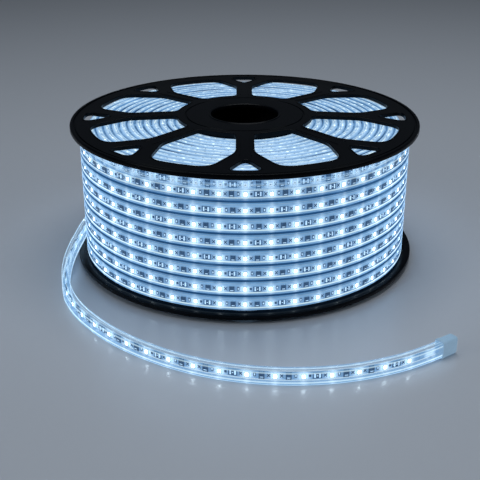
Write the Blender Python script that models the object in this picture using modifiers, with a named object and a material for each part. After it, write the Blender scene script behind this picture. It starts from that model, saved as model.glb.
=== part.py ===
"""A reel of sleeved LED strip: two spoked flanges on a barrel, the wound strip, and its free end.

The reel lies flat with its axis upright. The origin is on the floor, on the reel's axis,
and -Y is the front. Lengths are in metres.
"""

import math

import bpy
import bmesh
from mathutils import Vector

# The strip: a clear sleeve standing on edge, with a board and LED chips inside it
SLEEVE_HEIGHT = 0.0102
SLEEVE_THICKNESS = 0.0057
SLEEVE_CORNER = 0.0012
BOARD_HEIGHT = 0.0050
BOARD_THICKNESS = 0.0004
CHIP_LENGTH = 0.0028
CHIP_HEIGHT = 0.0035
CHIP_THICKNESS = 0.0008
CHIPS_PER_METRE = 60

# The winding: rows side by side along the axis, layers one over the other. The outermost layer has
# one row less, more loosely wound, so the top row of the layer below it shows under the top flange.
ROW_COUNT = 9
ROW_GAP = 0.00044
OUTER_ROW_COUNT = 8
OUTER_ROW_GAP = 0.0009
OUTER_ROW_START = 0.0009
LAYER_COUNT = 13
LAYER_GAP = 0.0001
ROW_GROOVE_DEPTH = 0.0010
ROW_GROOVE_WIDTH = 0.0024
LAYER_GROOVE_DEPTH = 0.0008
WINDING_STEPS = 36

# The barrel and the two flanges. A flange is a shallow dome: its hub stands out beyond its rim.
BARREL_RADIUS = 0.0453
BARREL_WALL = 0.0025
WEB_THICKNESS = 0.0026
DOME_RISE = 0.0024
DOME_RING = 0.0035
RIM_THICKNESS = 0.0036
RIM_WIDTH = 0.0044
RIM_CLEARANCE = 0.0020
RIM_CHAMFER = 0.0006
HUB_RADIUS = 0.0480
SPINDLE_RADIUS = 0.0247
SPIGOT_HEIGHT = 0.0040
SPIGOT_WALL = 0.0020
FLANGE_STEPS = 48

# The spokes and the windows between them
SPOKE_COUNT = 8
SPOKE_WIDTH = 0.0125
WINDOW_HUB_MARGIN = 0.0020
WINDOW_RIM = 0.0075
SHOULDER_RADIUS = 0.0850
FORK_WIDTH = 0.0460
INNER_CORNER = 0.0060
OUTER_CORNER = 0.0140
SHOULDER_CORNER = 0.0200
FORK_APEX_RADIUS = 0.0955
FORK_RIM = 0.0028
FORK_WINDOW_WIDTH = 0.0240
FORK_CORNER = 0.0050

# Touching pieces keep this gap
TOUCH_GAP = 0.0003

# The end cap on the free end
CAP_WALL = 0.0006
CAP_LENGTH = 0.0130
CAP_POCKET = 0.0090

# The free end's route as (degrees round from the front, radius, height of the middle of the strip).
# It starts against the winding behind the reel, stands on the bottom rim, and leaves it for the floor
# at the left.
STRIP_ROUTE = [
    (-150.0, 0.1243, 0.01150), (-138.0, 0.1243, 0.01150), (-126.0, 0.1243, 0.01150),
    (-115.0, 0.1244, 0.01150), (-105.0, 0.1246, 0.01150), (-97.0, 0.1250, 0.01150),
    (-90.0, 0.1257, 0.01150), (-83.0, 0.1276, 0.01150), (-77.0, 0.1309, 0.01130),
    (-71.0, 0.1358, 0.00980), (-65.0, 0.1414, 0.00790), (-59.0, 0.1472, 0.00630),
    (-52.0, 0.1540, 0.00545), (-44.5, 0.1603, 0.00520), (-37.5, 0.1657, 0.00520),
    (-30.0, 0.1719, 0.00520), (-22.0, 0.1786, 0.00520), (-14.0, 0.1855, 0.00520),
    (-6.0, 0.1920, 0.00520), (2.0, 0.1973, 0.00520), (10.0, 0.2015, 0.00520),
    (18.0, 0.2046, 0.00530), (26.0, 0.2063, 0.00555), (32.5, 0.2069, 0.00600),
    (37.5, 0.2067, 0.00610),
]
ROUTE_STEP = 0.012

# Sizes that follow from the ones above
ROW_PITCH = SLEEVE_HEIGHT + ROW_GAP
OUTER_ROW_PITCH = SLEEVE_HEIGHT + OUTER_ROW_GAP
LAYER_PITCH = SLEEVE_THICKNESS + LAYER_GAP
WINDING_HEIGHT = ROW_COUNT * ROW_PITCH
WINDING_BORE = BARREL_RADIUS + TOUCH_GAP
WINDING_RADIUS = WINDING_BORE + LAYER_COUNT * LAYER_PITCH
RIM_INNER_RADIUS = WINDING_RADIUS + RIM_CLEARANCE
FLANGE_RADIUS = RIM_INNER_RADIUS + RIM_WIDTH
REEL_HEIGHT = WINDING_HEIGHT + 2 * (TOUCH_GAP + WEB_THICKNESS + DOME_RISE)
WINDOW_INNER_RADIUS = HUB_RADIUS + WINDOW_HUB_MARGIN
WINDOW_OUTER_RADIUS = WINDING_RADIUS - WINDOW_RIM
RING_RADIUS = WINDOW_OUTER_RADIUS - DOME_RING
FORK_OUTER_RADIUS = WINDING_RADIUS - FORK_RIM
CAVITY_HEIGHT = BOARD_HEIGHT + 2 * TOUCH_GAP
CAVITY_THICKNESS = BOARD_THICKNESS + CHIP_THICKNESS + 3 * TOUCH_GAP
BOARD_OFFSET = -CAVITY_THICKNESS / 2 + TOUCH_GAP + BOARD_THICKNESS / 2
CHIP_OFFSET = CAVITY_THICKNESS / 2 - TOUCH_GAP - CHIP_THICKNESS / 2
CHIP_PITCH = 1 / CHIPS_PER_METRE


def clear_scene():
    """Remove the scene's objects and the collections this script makes."""
    for thing in list(bpy.data.objects):
        bpy.data.objects.remove(thing, do_unlink=True)
    for group in list(bpy.data.collections):
        bpy.data.collections.remove(group)


def new_collection(name):
    """Make a collection in the scene."""
    group = bpy.data.collections.new(name)
    bpy.context.scene.collection.children.link(group)
    return group


def make_material(name, colour, roughness, metallic=0.0, glow=0.0):
    """Make a plain Principled material, with an optional glow of the same colour."""
    material = bpy.data.materials.new(name)
    material.use_nodes = True
    shader = material.node_tree.nodes["Principled BSDF"]
    shader.inputs["Base Color"].default_value = (*colour, 1.0)
    shader.inputs["Roughness"].default_value = roughness
    shader.inputs["Metallic"].default_value = metallic
    shader.inputs["Emission Color"].default_value = (*colour, 1.0)
    shader.inputs["Emission Strength"].default_value = glow
    material.diffuse_color = (*colour, 1.0)
    return material


def add_object(name, data, group, material=None):
    """Put a mesh or curve in a collection under a name."""
    thing = bpy.data.objects.new(name, data)
    group.objects.link(thing)
    if material is not None:
        data.materials.append(material)
    return thing


def curve_to_mesh_object(source, name, group):
    """Turn a curve object into a mesh object with its caps welded, and remove the curve."""
    bpy.context.view_layer.update()
    graph = bpy.context.evaluated_depsgraph_get()
    mesh = bpy.data.meshes.new_from_object(source.evaluated_get(graph))
    bm = bmesh.new()
    bm.from_mesh(mesh)
    bmesh.ops.remove_doubles(bm, verts=bm.verts, dist=0.00001)
    bmesh.ops.recalc_face_normals(bm, faces=bm.faces)
    bm.to_mesh(mesh)
    bm.free()
    result = bpy.data.objects.new(name, mesh)
    group.objects.link(result)
    result.matrix_world = source.matrix_world
    bpy.data.objects.remove(source, do_unlink=True)
    return result


def as_cutter(thing):
    """Mark an object as a cutter."""
    thing.hide_render = True
    thing.display_type = "WIRE"
    return thing


def turned(name, profile, steps, group, material):
    """Turn a closed profile of (radius, height) points about the Z axis."""
    mesh = bpy.data.meshes.new(name)
    bm = bmesh.new()
    ring = [bm.verts.new((radius, 0.0, height)) for radius, height in profile]
    for index, corner in enumerate(ring):
        bm.edges.new((corner, ring[(index + 1) % len(ring)]))
    bm.to_mesh(mesh)
    bm.free()
    thing = add_object(name, mesh, group, material)
    screw = thing.modifiers.new("Turn", "SCREW")
    screw.steps = steps
    screw.render_steps = steps
    screw.use_merge_vertices = True
    screw.merge_threshold = 0.00001
    screw.use_smooth_shade = True
    return thing


def arc_points(radius, start, end, steps):
    """Points on an arc about the origin, from one angle to another."""
    return [Vector((radius * math.cos(start + (end - start) * i / steps),
                    radius * math.sin(start + (end - start) * i / steps)))
            for i in range(steps + 1)]


def rounded_corner(before, corner, after, radius, steps):
    """Points of a fillet that replaces a corner, no longer than its two sides allow."""
    towards_before = (before - corner).normalized()
    towards_after = (after - corner).normalized()
    half_angle = towards_before.angle(towards_after) / 2
    reach = min(radius / math.tan(half_angle), 0.45 * (before - corner).length,
                0.45 * (after - corner).length)
    start = corner + towards_before * reach
    end = corner + towards_after * reach
    points = []
    for i in range(steps + 1):
        t = i / steps
        points.append(start * (1 - t) ** 2 + corner * (2 * t * (1 - t)) + end * t ** 2)
    return points


def corner_to_arc(before, corner, radius, steps):
    """Points of a fillet from a straight side to the arc about the origin that runs on to +X."""
    back = (before - corner).normalized()
    tangent = Vector((corner.y, -corner.x)).normalized()
    reach = min(radius / math.tan(back.angle(tangent) / 2), 0.45 * (before - corner).length,
                0.8 * corner.y)
    angle = math.atan2(corner.y, corner.x) - reach / corner.length
    end = Vector((corner.length * math.cos(angle), corner.length * math.sin(angle)))
    start = corner + back * reach
    points = []
    for i in range(steps + 1):
        t = i / steps
        points.append(start * (1 - t) ** 2 + corner * (2 * t * (1 - t)) + end * t ** 2)
    return points


def arc_inside(radius, end, steps):
    """Points on the arc about the origin between an end point and its mirror image."""
    angle = math.atan2(end.y, end.x)
    return arc_points(radius, angle, -angle, steps)[1:-1]


def spoke_side(along, across, half_sector):
    """A point beside a spoke: a distance along it and one off its middle, seen from a window."""
    radius = math.hypot(along, across)
    angle = half_sector - math.atan2(across, along)
    return Vector((radius * math.cos(angle), radius * math.sin(angle)))


def window_outline():
    """Outline of a large window whose middle line is +X."""
    half_sector = math.pi / SPOKE_COUNT
    half_spoke = SPOKE_WIDTH / 2
    inner_along = math.sqrt(WINDOW_INNER_RADIUS ** 2 - half_spoke ** 2)
    outer_along = math.sqrt(WINDOW_OUTER_RADIUS ** 2 - (FORK_WIDTH / 2) ** 2)
    inner = spoke_side(inner_along, half_spoke, half_sector)
    shoulder = spoke_side(SHOULDER_RADIUS, half_spoke, half_sector)
    outer = spoke_side(outer_along, FORK_WIDTH / 2, half_sector)
    half = list(reversed(corner_to_arc(shoulder, inner, INNER_CORNER, 3)))
    half += rounded_corner(inner, shoulder, outer, SHOULDER_CORNER, 3)
    half += corner_to_arc(shoulder, outer, OUTER_CORNER, 4)
    mirrored = [Vector((point.x, -point.y)) for point in reversed(half)]
    inner_middle = list(reversed(arc_inside(WINDOW_INNER_RADIUS, half[0], 4)))
    return half + arc_inside(WINDOW_OUTER_RADIUS, half[-1], 4) + mirrored + inner_middle


def fork_outline():
    """Outline of the small window in a spoke's fork, whose middle line is +X."""
    apex = Vector((FORK_APEX_RADIUS, 0.0))
    half_width = FORK_WINDOW_WIDTH / 2
    corner = Vector((math.sqrt(FORK_OUTER_RADIUS ** 2 - half_width ** 2), half_width))
    other = Vector((corner.x, -corner.y))
    half = corner_to_arc(apex, corner, FORK_CORNER, 4)
    mirrored = [Vector((point.x, -point.y)) for point in reversed(half)]
    tip = rounded_corner(other, apex, corner, FORK_CORNER, 3)
    return half + arc_inside(FORK_OUTER_RADIUS, half[-1], 2) + mirrored + tip


def window_cutter(name, outline, angle, group):
    """A prism through both flanges, made from a flat outline."""
    curve = bpy.data.curves.new(name, "CURVE")
    curve.dimensions = "2D"
    curve.fill_mode = "BOTH"
    curve.extrude = REEL_HEIGHT / 2 + RIM_THICKNESS
    spline = curve.splines.new("POLY")
    spline.points.add(len(outline) - 1)
    for point, corner in zip(spline.points, outline):
        point.co = (corner.x, corner.y, 0.0, 1.0)
    spline.use_cyclic_u = True
    source = bpy.data.objects.new(name, curve)
    group.objects.link(source)
    source.location = (0.0, 0.0, REEL_HEIGHT / 2)
    source.rotation_euler = (0.0, 0.0, angle)
    return as_cutter(curve_to_mesh_object(source, name, group))


def make_window_cutters(group):
    """All the windows: a large one between each two spokes and a small one in each fork."""
    for index in range(SPOKE_COUNT):
        spoke_angle = 2 * math.pi * index / SPOKE_COUNT
        window_cutter(f"window_cutter_{index + 1}", window_outline(),
                      spoke_angle + math.pi / SPOKE_COUNT, group)
        window_cutter(f"fork_cutter_{index + 1}", fork_outline(), spoke_angle, group)


def flange_profile():
    """Section of a flange whose hub face is up at height zero."""
    ring_face = -DOME_RISE
    web_under = -WEB_THICKNESS
    ring_under = ring_face - WEB_THICKNESS
    rim_under = ring_face - RIM_THICKNESS
    spigot_outer = BARREL_RADIUS - BARREL_WALL - TOUCH_GAP
    spigot_inner = spigot_outer - SPIGOT_WALL
    return [
        (SPINDLE_RADIUS, 0.0),
        (HUB_RADIUS, 0.0),
        (RING_RADIUS, ring_face),
        (FLANGE_RADIUS - RIM_CHAMFER, ring_face),
        (FLANGE_RADIUS, ring_face - RIM_CHAMFER),
        (FLANGE_RADIUS, rim_under + RIM_CHAMFER),
        (FLANGE_RADIUS - RIM_CHAMFER, rim_under),
        (RIM_INNER_RADIUS, rim_under),
        (RIM_INNER_RADIUS, ring_under),
        (RING_RADIUS, ring_under),
        (HUB_RADIUS, web_under),
        (spigot_outer, web_under),
        (spigot_outer, web_under - SPIGOT_HEIGHT),
        (spigot_inner, web_under - SPIGOT_HEIGHT),
        (spigot_inner, web_under),
        (SPINDLE_RADIUS, web_under),
    ]


def make_flange(name, upper, cutters, group, material):
    """A flange with its windows cut, as the top one or turned over as the bottom one."""
    flange = turned(name, flange_profile(), FLANGE_STEPS, group, material)
    if upper:
        flange.location.z = REEL_HEIGHT
    else:
        flange.rotation_euler.x = math.pi
    cut = flange.modifiers.new("Windows", "BOOLEAN")
    cut.operation = "DIFFERENCE"
    cut.operand_type = "COLLECTION"
    cut.collection = cutters
    cut.solver = "EXACT"
    return flange


def make_barrel(group, material):
    """The tube between the flanges that carries the winding."""
    low = WEB_THICKNESS + TOUCH_GAP
    high = REEL_HEIGHT - low
    inner = BARREL_RADIUS - BARREL_WALL
    profile = [(inner, high), (BARREL_RADIUS, high), (BARREL_RADIUS, low), (inner, low)]
    return turned("core_barrel", profile, FLANGE_STEPS, group, material)


def layer_crests(height, groove):
    """Points across the end of the winding, up to its second outermost layer, one crest to a layer."""
    crests = [(WINDING_BORE, groove)]
    for layer in range(LAYER_COUNT - 1):
        inner = WINDING_BORE + layer * LAYER_PITCH
        crests.append((inner + LAYER_PITCH / 2, height))
        crests.append((inner + LAYER_PITCH, groove))
    return crests


def winding_profile():
    """Section of the winding: layers show on both ends and rows on the outside."""
    low = DOME_RISE + WEB_THICKNESS + TOUCH_GAP
    high = low + WINDING_HEIGHT
    outer_low = low + OUTER_ROW_START
    outer_high = outer_low + OUTER_ROW_COUNT * OUTER_ROW_PITCH
    half_groove = ROW_GROOVE_WIDTH / 2
    shoulder = WINDING_RADIUS - LAYER_PITCH
    side = [(shoulder, outer_high)]
    for row in range(OUTER_ROW_COUNT):
        row_top = outer_high - row * OUTER_ROW_PITCH
        side.append((WINDING_RADIUS - ROW_GROOVE_DEPTH, row_top))
        side.append((WINDING_RADIUS, row_top - half_groove))
        side.append((WINDING_RADIUS, row_top - OUTER_ROW_PITCH + half_groove))
    side.append((WINDING_RADIUS - ROW_GROOVE_DEPTH, outer_low))
    side.append((shoulder, outer_low))
    top = layer_crests(high, high - LAYER_GROOVE_DEPTH)
    bottom = layer_crests(low, low + LAYER_GROOVE_DEPTH)
    return top + side + list(reversed(bottom))


def catmull_point(before, start, end, after, t):
    """A point on the smooth curve between start and end."""
    return 0.5 * (2 * start + (end - before) * t + (2 * before - 5 * start + 4 * end - after) * t ** 2
                  + (3 * start - before - 3 * end + after) * t ** 3)


def smooth_route():
    """The free end's centre line as points about ROUTE_STEP apart on one smooth curve."""
    knots = [Vector((radius * math.sin(math.radians(angle)), -radius * math.cos(math.radians(angle)), height))
             for angle, radius, height in STRIP_ROUTE]
    ends = [2 * knots[0] - knots[1]] + knots + [2 * knots[-1] - knots[-2]]
    fine = []
    for i in range(1, len(ends) - 2):
        fine += [catmull_point(*ends[i - 1:i + 3], step / 20) for step in range(20)]
    fine.append(knots[-1])
    count = round(polyline_length(fine) / ROUTE_STEP)
    return [point_along(fine, polyline_length(fine) * i / count)[0] for i in range(count + 1)]


def polyline_length(points):
    """Length of a line through points."""
    return sum((b - a).length for a, b in zip(points, points[1:]))


def point_along(points, distance):
    """The point at a distance along a line through points, and the direction there."""
    left = distance
    for a, b in zip(points, points[1:]):
        length = (b - a).length
        if left <= length:
            return a + (b - a) * (left / length), (b - a).normalized()
        left -= length
    return points[-1].copy(), (points[-1] - points[-2]).normalized()


def outward(direction):
    """The level direction at right angles to the strip, away from the reel."""
    return Vector((direction.y, -direction.x, 0.0)).normalized()


def section_curve(name, height, thickness, corner, group):
    """A flat closed outline that a route carries along: a rectangle with rounded corners."""
    curve = bpy.data.curves.new(name, "CURVE")
    curve.dimensions = "2D"
    half_x = thickness / 2
    half_y = height / 2
    corners = [Vector((half_x, half_y)), Vector((-half_x, half_y)),
               Vector((-half_x, -half_y)), Vector((half_x, -half_y))]
    outline = []
    for i, point in enumerate(corners):
        if corner > 0:
            outline += rounded_corner(corners[i - 1], point, corners[(i + 1) % 4], corner, 2)
        else:
            outline.append(point)
    spline = curve.splines.new("POLY")
    spline.points.add(len(outline) - 1)
    for place, point in zip(spline.points, outline):
        place.co = (point.x, point.y, 0.0, 1.0)
    spline.use_cyclic_u = True
    section = bpy.data.objects.new(name, curve)
    group.objects.link(section)
    return as_cutter(section)


def swept(name, points, section, group):
    """A closed tube of the section along the points, kept upright."""
    curve = bpy.data.curves.new(name, "CURVE")
    curve.dimensions = "3D"
    curve.twist_mode = "Z_UP"
    curve.bevel_mode = "OBJECT"
    curve.bevel_object = section
    curve.use_fill_caps = True
    spline = curve.splines.new("POLY")
    spline.points.add(len(points) - 1)
    for place, point in zip(spline.points, points):
        place.co = (*point, 1.0)
    source = bpy.data.objects.new(name + "_route", curve)
    group.objects.link(source)
    return curve_to_mesh_object(source, name, group)


def extended(points, start, end):
    """The same line, made longer or shorter at its two ends."""
    first = points[0] + (points[0] - points[1]).normalized() * start
    last = points[-1] + (points[-1] - points[-2]).normalized() * end
    return [first] + points[1:-1] + [last]


def shifted(points, offset):
    """The line moved sideways, away from the reel where the offset is positive."""
    moved = []
    for i, point in enumerate(points):
        before = points[max(i - 1, 0)]
        after = points[min(i + 1, len(points) - 1)]
        moved.append(point + outward((after - before).normalized()) * offset)
    return moved


def make_sleeve(route, group, cutters, material):
    """The clear sleeve of the free end, with the cavity that holds the board."""
    outer = section_curve("sleeve_section", SLEEVE_HEIGHT, SLEEVE_THICKNESS, SLEEVE_CORNER, cutters)
    inner = section_curve("cavity_section", CAVITY_HEIGHT, CAVITY_THICKNESS, 0.0, cutters)
    sleeve = swept("free_strip_sleeve", route, outer, group)
    cavity = as_cutter(swept("cavity_cutter", extended(route, SLEEVE_THICKNESS, SLEEVE_THICKNESS), inner, cutters))
    cut = sleeve.modifiers.new("Cavity", "BOOLEAN")
    cut.operation = "DIFFERENCE"
    cut.object = cavity
    cut.solver = "EXACT"
    sleeve.data.materials.append(material)
    return sleeve


def make_board(route, group, cutters, material):
    """The flexible board inside the sleeve."""
    section = section_curve("board_section", BOARD_HEIGHT, BOARD_THICKNESS, 0.0, cutters)
    board = swept("free_strip_board", shifted(route, BOARD_OFFSET), section, group)
    board.data.materials.append(material)
    return board


def make_chips(route, group, material):
    """The LED chips in a row along the board, all sharing one mesh."""
    bm = bmesh.new()
    bmesh.ops.create_cube(bm, size=1.0)
    bmesh.ops.scale(bm, vec=(CHIP_LENGTH, CHIP_THICKNESS, CHIP_HEIGHT), verts=bm.verts)
    mesh = bpy.data.meshes.new("led_chip")
    bm.to_mesh(mesh)
    bm.free()
    mesh.materials.append(material)
    count = int((polyline_length(route) - CAP_POCKET) / CHIP_PITCH)
    for index in range(count):
        place, direction = point_along(route, (index + 0.5) * CHIP_PITCH)
        chip = bpy.data.objects.new(f"led_chip_{index + 1:02d}", mesh)
        group.objects.link(chip)
        chip.location = place + outward(direction) * CHIP_OFFSET
        chip.rotation_euler.z = math.atan2(direction.y, direction.x)


def make_end_cap(route, group, cutters, material):
    """The moulded cap pushed over the free end."""
    pocket_height = SLEEVE_HEIGHT + 2 * TOUCH_GAP
    pocket_thickness = SLEEVE_THICKNESS + 2 * TOUCH_GAP
    outer = section_curve("cap_section", pocket_height + 2 * CAP_WALL, pocket_thickness + 2 * CAP_WALL,
                          SLEEVE_CORNER + CAP_WALL, cutters)
    inner = section_curve("pocket_section", pocket_height, pocket_thickness, SLEEVE_CORNER, cutters)
    direction = (route[-1] - route[-2]).normalized()
    mouth = route[-1] - direction * CAP_POCKET
    cap = swept("end_cap", [mouth, mouth + direction * CAP_LENGTH], outer, group)
    pocket = as_cutter(swept("pocket_cutter", [mouth - direction * CAP_WALL,
                                               route[-1] + direction * TOUCH_GAP], inner, cutters))
    cut = cap.modifiers.new("Pocket", "BOOLEAN")
    cut.operation = "DIFFERENCE"
    cut.object = pocket
    cut.solver = "EXACT"
    cap.data.materials.append(material)
    return cap


def build():
    """Build every piece of the reel."""
    clear_scene()
    reel = new_collection("led_strip_reel")
    window_cutters = new_collection("window_cutters")
    strip_cutters = new_collection("strip_cutters")
    plastic = make_material("black_plastic", (0.012, 0.014, 0.018), 0.35)
    sleeve_plastic = make_material("clear_sleeve", (0.55, 0.75, 0.95), 0.15)
    wound_plastic = make_material("wound_strip", (0.50, 0.72, 0.95), 0.2, glow=0.3)
    board_white = make_material("board_white", (0.75, 0.85, 0.95), 0.5)
    chip_light = make_material("led_light", (0.90, 0.96, 1.0), 0.4, glow=4.0)

    make_window_cutters(window_cutters)
    make_flange("bottom_flange", False, window_cutters, reel, plastic)
    make_flange("top_flange", True, window_cutters, reel, plastic)
    make_barrel(reel, plastic)
    turned("wound_strip", winding_profile(), WINDING_STEPS, reel, wound_plastic)

    route = smooth_route()
    make_sleeve(route, reel, strip_cutters, sleeve_plastic)
    make_board(extended(route, 0.0, -CAP_POCKET / 2), reel, strip_cutters, board_white)
    make_chips(route, reel, chip_light)
    make_end_cap(route, reel, strip_cutters, sleeve_plastic)


build()
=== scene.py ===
"""The looks of a reel of lit LED strip: its free end, the wound strip, two spoked flanges and a barrel.

Lengths are in metres in the row frame: the reel stands on the floor with its axis upright at the origin,
and -Y is the front. Every strip piece carries a UV map: U counts LED pitches along the strip, with an LED
in the middle of each, and V goes from the bottom edge of the sleeve, 0, to its top edge, 1.
"""

from __future__ import annotations

import logging
import math
from collections.abc import Callable, Sequence
from dataclasses import dataclass, field
from enum import Enum

import bmesh
import bpy
from mathutils import Matrix, Vector


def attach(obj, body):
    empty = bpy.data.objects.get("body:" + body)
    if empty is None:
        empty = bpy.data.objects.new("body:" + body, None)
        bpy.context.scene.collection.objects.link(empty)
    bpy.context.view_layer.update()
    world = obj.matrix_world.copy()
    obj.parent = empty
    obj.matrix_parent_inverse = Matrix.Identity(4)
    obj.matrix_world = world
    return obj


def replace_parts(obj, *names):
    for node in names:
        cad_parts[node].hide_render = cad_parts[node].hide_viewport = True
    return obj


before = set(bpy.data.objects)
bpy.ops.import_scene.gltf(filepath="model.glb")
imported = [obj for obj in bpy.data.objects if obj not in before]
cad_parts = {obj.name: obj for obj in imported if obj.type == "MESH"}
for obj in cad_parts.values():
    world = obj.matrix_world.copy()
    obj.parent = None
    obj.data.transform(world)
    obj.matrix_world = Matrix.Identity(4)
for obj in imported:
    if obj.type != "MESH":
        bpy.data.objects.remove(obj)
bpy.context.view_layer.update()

log = logging.getLogger("led_reel")

Colour = tuple[float, float, float]
Outline = list[Vector]

BODY = "root"
STRIP_UV = "strip"
MERGE = 1e-6
SHARP_ANGLE = math.radians(35.0)
LED_PITCH = 1.0 / 60.0
UP = Vector((0.0, 0.0, 1.0))


class Slot(Enum):
    """The record's material slots."""

    PLASTIC = "black_plastic"
    WOUND = "wound_strip"
    SLEEVE = "clear_sleeve"
    BOARD = "strip_board"
    LED = "led_chip"


class Lit(Enum):
    """Whether the LEDs on a length of strip give light."""

    ON = "on"
    OFF = "off"


class Gap(Enum):
    """What fills the board between two LEDs."""

    BRIDGE_FIRST = 0
    RESISTOR = 1
    BRIDGE_LAST = 2


# Shader building


class Value:
    """A number carried by a socket. Sums, products and the like of it add Math nodes."""

    def __init__(self, graph: Graph, socket: bpy.types.NodeSocket) -> None:
        """Wrap an output socket.

        Args:
            graph: the graph that the socket is in.
            socket: the output that gives the number.
        """
        self.graph = graph
        self.socket = socket

    def math(self, operation: str, *terms: Value | float) -> Value:
        """Put this value and others through a Math node.

        Args:
            operation: the Math node's operation.
            terms: its inputs, in order.

        Returns:
            The node's result.
        """
        node = self.graph.node("ShaderNodeMath", {"operation": operation}, dict(enumerate(terms)))
        return Value(self.graph, node.outputs[0])

    def __add__(self, other: Value | float) -> Value:
        """This plus other."""
        return self.math("ADD", self, other)

    def __sub__(self, other: Value | float) -> Value:
        """This minus other."""
        return self.math("SUBTRACT", self, other)

    def __rsub__(self, other: Value | float) -> Value:
        """Other minus this."""
        return self.math("SUBTRACT", other, self)

    def __mul__(self, other: Value | float) -> Value:
        """This times other."""
        return self.math("MULTIPLY", self, other)

    def __truediv__(self, other: Value | float) -> Value:
        """This over other."""
        return self.math("DIVIDE", self, other)

    def __rtruediv__(self, other: Value | float) -> Value:
        """Other over this."""
        return self.math("DIVIDE", other, self)

    __radd__ = __add__
    __rmul__ = __mul__

    def whole(self) -> Value:
        """The next whole number down."""
        return self.math("FLOOR", self)

    def fraction(self) -> Value:
        """What is over the next whole number down."""
        return self.math("FRACT", self)

    def size(self) -> Value:
        """The value without its sign."""
        return self.math("ABSOLUTE", self)

    def root(self) -> Value:
        """The square root."""
        return self.math("SQRT", self)

    def at_most(self, limit: float) -> Value:
        """The value, or the limit where that is less."""
        return self.math("MINIMUM", self, limit)

    def rise(self, low: float, high: float) -> Value:
        """Go smoothly from 0 at low to 1 at high.

        Args:
            low: the value that gives 0.
            high: the value that gives 1.

        Returns:
            The smooth step.
        """
        node = self.graph.node("ShaderNodeMapRange", {"interpolation_type": "SMOOTHSTEP"},
                               {0: self, 1: low, 2: high, 3: 0.0, 4: 1.0})
        return Value(self.graph, node.outputs[0])

    def band(self, middle: float, width: float, soft: float) -> Value:
        """A stripe: 1 where the value is near the middle, and 0 away from it.

        Args:
            middle: the value at the middle of the stripe.
            width: the stripe's full width at half its strength.
            soft: the width over which each side fades.

        Returns:
            The stripe's mask.
        """
        return 1.0 - (self - middle).size().rise(width / 2 - soft / 2, width / 2 + soft / 2)


class Graph:
    """A material's node tree."""

    def __init__(self, name: str) -> None:
        """Start an empty material.

        Args:
            name: the material's name.
        """
        self.material = bpy.data.materials.new(name)
        self.material.use_nodes = True
        self.tree = self.material.node_tree
        self.tree.nodes.clear()

    def node(self, kind: str, settings: dict[str, object] | None = None,
             sockets: dict[int | str, object] | None = None) -> bpy.types.Node:
        """Add a node.

        Args:
            kind: the node's type.
            settings: its properties, set first. A ramp's stops go under "stops".
            sockets: a value, colour or link for each of its inputs, by name or number.

        Returns:
            The node.
        """
        node = self.tree.nodes.new(kind)
        for key, value in (settings or {}).items():
            if key == "stops":
                for index, (place, colour) in enumerate(value):
                    stops = node.color_ramp.elements
                    stop = stops[index] if index < 2 else stops.new(place)
                    stop.position = place
                    stop.color = (*colour, 1.0)
            else:
                setattr(node, key, value)
        for key, value in (sockets or {}).items():
            if isinstance(value, Value):
                value = value.socket
            if isinstance(value, bpy.types.NodeSocket):
                self.tree.links.new(value, node.inputs[key])
            elif isinstance(value, tuple) and len(value) == 3 and node.inputs[key].type == "RGBA":
                node.inputs[key].default_value = (*value, 1.0)
            else:
                node.inputs[key].default_value = value
        return node

    def place(self) -> bpy.types.NodeSocket:
        """The point on the object."""
        return self.node("ShaderNodeTexCoord").outputs["Object"]

    def parts(self, vector: bpy.types.NodeSocket) -> tuple[Value, Value, Value]:
        """The three numbers of a vector."""
        split = self.node("ShaderNodeSeparateXYZ", None, {0: vector})
        return Value(self, split.outputs[0]), Value(self, split.outputs[1]), Value(self, split.outputs[2])

    def strip_place(self) -> tuple[Value, Value]:
        """How far along the strip in LED pitches, and how far up its sleeve from 0 to 1."""
        along, up, _ = self.parts(self.node("ShaderNodeUVMap", {"uv_map": STRIP_UV}).outputs[0])
        return along, up

    def noise(self, scale: float, detail: float = 2.0, vector: bpy.types.NodeSocket | None = None) -> Value:
        """Soft noise from 0 to 1 on the object.

        Args:
            scale: how many bumps there are in a metre.
            detail: how many finer layers it has.
            vector: where to read it, or None for the point on the object.

        Returns:
            The noise.
        """
        node = self.node("ShaderNodeTexNoise", None,
                         {"Vector": vector or self.place(), "Scale": scale, "Detail": detail})
        return Value(self, node.outputs[0])

    def mix(self, factor: Value | float, low: object, high: object) -> bpy.types.NodeSocket:
        """Blend two colours.

        Args:
            factor: 0 for the first colour and 1 for the second.
            low: the first colour.
            high: the second colour.

        Returns:
            The blend.
        """
        node = self.node("ShaderNodeMix", {"data_type": "RGBA"}, {0: factor, 6: low, 7: high})
        return node.outputs[2]

    def dim(self, colour: object, strength: Value | float) -> bpy.types.NodeSocket:
        """A colour times a number.

        Args:
            colour: the colour.
            strength: what each of its parts is multiplied by.

        Returns:
            The scaled colour.
        """
        if isinstance(colour, tuple):
            colour = self.mix(0.0, colour, colour)
        node = self.node("ShaderNodeVectorMath", {"operation": "SCALE"}, {0: colour, "Scale": strength})
        return node.outputs[0]

    def bump(self, height: Value, depth: float, strength: float = 1.0) -> bpy.types.NodeSocket:
        """A surface direction from a height.

        Args:
            height: the height, where 1 stands for the depth.
            depth: how deep it is, in metres.
            strength: how much of it shows.

        Returns:
            The direction.
        """
        node = self.node("ShaderNodeBump", None, {"Height": height, "Distance": depth, "Strength": strength})
        return node.outputs[0]

    def finish(self, **sockets: object) -> bpy.types.Material:
        """Close the material with one main shader.

        Args:
            sockets: values, colours and links for the shader, with _ for a space in each name.

        Returns:
            The material.
        """
        named = {name.replace("_", " "): value for name, value in sockets.items()}
        shader = self.node("ShaderNodeBsdfPrincipled", None, named)
        self.node("ShaderNodeOutputMaterial", None, {"Surface": shader.outputs[0]})
        return self.material


# Finishes


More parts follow.
